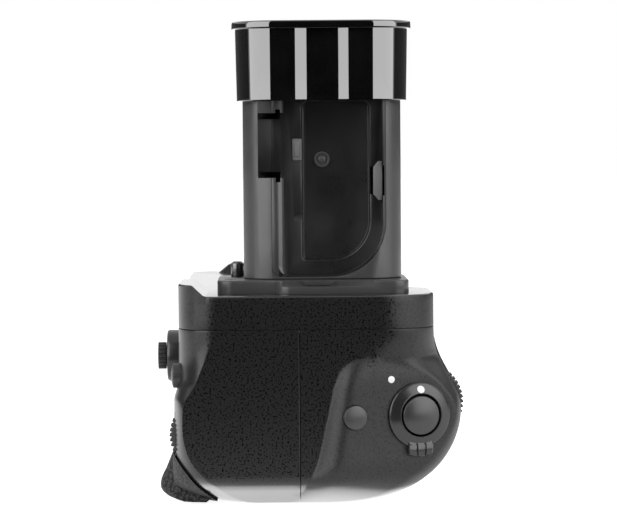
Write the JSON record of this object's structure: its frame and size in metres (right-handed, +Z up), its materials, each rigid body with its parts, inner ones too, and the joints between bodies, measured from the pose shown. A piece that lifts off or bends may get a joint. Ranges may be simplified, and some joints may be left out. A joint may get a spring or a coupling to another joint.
{
  "type": "camera battery grip",
  "caption": "Vertical battery grip for a mirrorless camera, with a battery-chamber stem under a glossy cap, a hand grip with a shutter pod, dials, a joystick and a pull-out battery tray.",
  "frame": {"origin": "on the axis of the attachment screw, in the plane of the seat that the camera stands on", "axes": "+X towards the hand-grip end, +Y forward to the lens side, +Z up along the attachment screw"},
  "size_m": [0.1424, 0.0789, 0.1238],
  "materials": {
    "case_black": "coarse speckled matt",
    "rubber": "pebbled",
    "stem_black": "fine satin",
    "cap_gloss": "high gloss",
    "button_black": "satin",
    "lever_black": "satin",
    "dial_black": "satin, ribbed",
    "catch_grey": "satin",
    "steel": "brushed",
    "brass": "plated",
    "inner_black": "moulded",
    "board_green": "solder mask",
    "flex_amber": "film"
  },
  "bodies": {
    "case": {"top_case": "case_black", "front_case": "case_black", "rear_case": "case_black", "front_grip_rubber": "rubber", "thumb_rest_rubber": "rubber", "stem_shell": "stem_black", "stem_flange": "stem_black", "door_holder": "stem_black", "joystick_collar": "lever_black", "door_catch": "catch_grey", "door_spring": "steel", "guide_pin": "steel", "wheel_axle": "steel", "front_dial_shaft": "steel", "rear_dial_shaft": "steel", "tripod_socket": "steel", "flange_screws": "steel", "base_screws": "steel", "mechanism_plate": "steel", "stem_contacts": "brass", "chamber_contacts": "brass", "battery_chamber": "inner_black", "stem_contact_block": "inner_black", "front_dial_bracket": "inner_black", "rear_dial_bracket": "inner_black", "joystick_base": "inner_black", "control_switches": "inner_black", "af_switch": "inner_black", "main_board": "board_green", "control_plate": "board_green", "af_board": "board_green", "stem_flex": "flex_amber"},
    "cap": {"contact_cap": "cap_gloss"},
    "shutter": {"shutter_button": "button_black"},
    "lever": {"lock_lever": "lever_black", "lever_clip": "steel"},
    "fn": {"fn_button": "button_black"},
    "af": {"af_button": "button_black"},
    "front_wheel": {"front_dial": "dial_black"},
    "rear_wheel": {"rear_dial": "dial_black"},
    "stick_ring": {"joystick_gimbal": "steel"},
    "stick": {"joystick_post": "inner_black"},
    "stick_top": {"joystick_cap": "dial_black"},
    "thumb_wheel": {"attachment_wheel": "dial_black"},
    "screw": {"attachment_screw": "steel"},
    "tray": {"battery_tray": "inner_black", "tray_cover": "case_black", "tray_contacts": "brass"},
    "key": {"tray_key": "lever_black", "tray_tongue": "steel"}
  },
  "joints": [
    {"name": "contact_cap_lift", "type": "slide", "parent": "case", "child": "cap", "axis": [0, 0, 1], "range_m": [0, 0.024]},
    {"name": "shutter_press", "type": "slide", "parent": "case", "child": "shutter", "axis": [-0.9397, -0.342, 0], "range_m": [0, 0.0009], "stiffness_N_per_m": 900},
    {"name": "lock_lever_turn", "type": "hinge", "parent": "case", "child": "lever", "pos_m": [0.06805, 0.0352, -0.0305], "axis": [0.9397, 0.342, 0], "range_deg": [0, 42]},
    {"name": "fn_press", "type": "slide", "parent": "case", "child": "fn", "axis": [-0.9397, -0.342, 0], "range_m": [0, 0.0005], "stiffness_N_per_m": 1500},
    {"name": "af_press", "type": "slide", "parent": "case", "child": "af", "axis": [0, 1, 0], "range_m": [0, 0.0005], "stiffness_N_per_m": 1500},
    {"name": "front_dial_turn", "type": "hinge", "parent": "case", "child": "front_wheel", "pos_m": [0.0505, 0.0375, -0.0286], "axis": [1, 0, 0], "continuous": true},
    {"name": "rear_dial_turn", "type": "hinge", "parent": "case", "child": "rear_wheel", "pos_m": [0.0615, -0.0179, -0.0356], "axis": [1, 0, 0], "continuous": true},
    {"name": "stick_tilt_up_down", "type": "hinge", "parent": "case", "child": "stick_ring", "pos_m": [0.042, -0.0215, -0.0169], "axis": [1, 0, 0], "range_deg": [-8, 8], "stiffness_Nm_per_rad": 0.02},
    {"name": "stick_tilt_left_right", "type": "hinge", "parent": "stick_ring", "child": "stick", "pos_m": [0.042, -0.0215, -0.0169], "axis": [0, 0, 1], "range_deg": [-8, 8], "stiffness_Nm_per_rad": 0.02},
    {"name": "stick_push", "type": "slide", "parent": "stick", "child": "stick_top", "axis": [0, 1, 0], "range_m": [0, 0.0003], "stiffness_N_per_m": 2500},
    {"name": "thumb_wheel_turn", "type": "hinge", "parent": "case", "child": "thumb_wheel", "pos_m": [-0.01716, -0.01312, -0.005], "axis": [0, 0, 1], "continuous": true},
    {"name": "screw_turn", "type": "hinge", "parent": "case", "child": "screw", "pos_m": [0, 0, 0], "axis": [0, 0, 1], "continuous": true},
    {"name": "tray_slide", "type": "slide", "parent": "case", "child": "tray", "axis": [-1, 0, 0], "range_m": [0, 0.122]},
    {"name": "tray_key_turn", "type": "hinge", "parent": "tray", "child": "key", "pos_m": [-0.066, 0, -0.03325], "axis": [1, 0, 0], "range_deg": [0, 90]}
  ],
  "couplings": [
    {"joint": "screw_turn", "follows": "thumb_wheel_turn", "ratio": -1.5}
  ]
}
